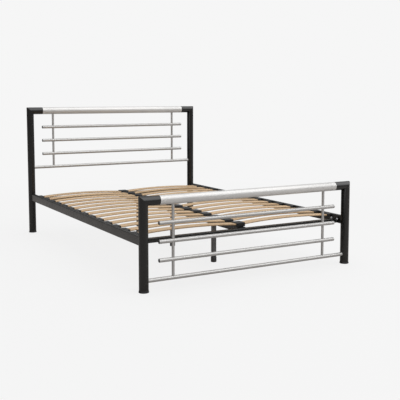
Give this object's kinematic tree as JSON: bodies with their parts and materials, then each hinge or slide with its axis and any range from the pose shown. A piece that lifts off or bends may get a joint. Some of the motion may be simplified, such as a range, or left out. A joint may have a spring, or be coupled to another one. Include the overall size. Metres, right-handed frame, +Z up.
{
  "type": "double bed frame",
  "caption": "Steel double bed frame with round black posts, satin silver top rails and rod panels, side rails, centre beam on levelling legs and sprung wooden slats.",
  "frame": {"origin": "on the floor, at the middle of the bed", "axes": "+Y towards the head, +Z up, +X to the right for someone who stands at the foot and looks at the head"},
  "size_m": [1.426, 2.026, 0.946],
  "materials": {
    "black_paint": "satin powder coat",
    "charcoal_paint": "satin powder coat",
    "silver_paint": "satin metallic",
    "zinc": "bright zinc plate",
    "black_plastic": "fine moulded grain",
    "grey_plastic": "smooth moulded",
    "birch": "clear lacquered bent plywood"
  },
  "bodies": {
    "frame": {"head_post_left": "black_paint", "head_post_right": "black_paint", "head_return_left": "black_paint", "head_return_right": "black_paint", "head_top_rail": "silver_paint", "head_joint_sleeves": "zinc", "head_rod_upper": "silver_paint", "head_rod_middle": "silver_paint", "head_rod_lower": "silver_paint", "head_bottom_rod": "silver_paint", "head_uprights_left": "silver_paint", "head_uprights_right": "silver_paint", "head_rod_plugs": "grey_plastic", "head_cap_left": "black_plastic", "head_cap_right": "black_plastic", "foot_post_left": "black_paint", "foot_post_right": "black_paint", "foot_return_left": "black_paint", "foot_return_right": "black_paint", "foot_top_rail": "silver_paint", "foot_joint_sleeves": "zinc", "foot_rod_upper": "silver_paint", "foot_rod_middle": "silver_paint", "foot_rod_lower": "silver_paint", "foot_bottom_rod": "silver_paint", "foot_uprights_left": "silver_paint", "foot_uprights_right": "silver_paint", "foot_rod_plugs": "grey_plastic", "foot_cap_left": "black_plastic", "foot_cap_right": "black_plastic", "side_rail_left": "black_paint", "side_rail_right": "black_paint", "post_spigots": "black_paint", "corner_bolts": "zinc", "corner_washers": "zinc", "corner_nuts": "zinc", "head_cross_bar": "black_paint", "foot_cross_bar": "black_paint", "cross_bar_plates": "black_paint", "centre_beam": "black_paint", "beam_brackets": "black_paint", "beam_bolts": "zinc", "beam_nuts": "zinc", "head_leg": "charcoal_paint", "middle_leg": "charcoal_paint", "foot_leg": "charcoal_paint", "leg_plates": "black_paint", "leg_screws": "zinc", "leg_inserts": "black_plastic", "slats_left": "birch", "slats_right": "birch", "side_holders_left": "black_plastic", "side_holders_right": "black_plastic", "centre_holders": "black_plastic"},
    "head_leg_foot": {"head_leg_pad": "grey_plastic", "head_leg_stud": "zinc"},
    "middle_leg_foot": {"middle_leg_pad": "grey_plastic", "middle_leg_stud": "zinc"},
    "foot_leg_foot": {"foot_leg_pad": "grey_plastic", "foot_leg_stud": "zinc"}
  },
  "joints": [
    {"name": "head_leg_levelling", "type": "slide", "parent": "frame", "child": "head_leg_foot", "axis": [0, 0, -1], "range_m": [-0.008, 0.01]},
    {"name": "middle_leg_levelling", "type": "slide", "parent": "frame", "child": "middle_leg_foot", "axis": [0, 0, -1], "range_m": [-0.008, 0.01]},
    {"name": "foot_leg_levelling", "type": "slide", "parent": "frame", "child": "foot_leg_foot", "axis": [0, 0, -1], "range_m": [-0.008, 0.01]}
  ]
}
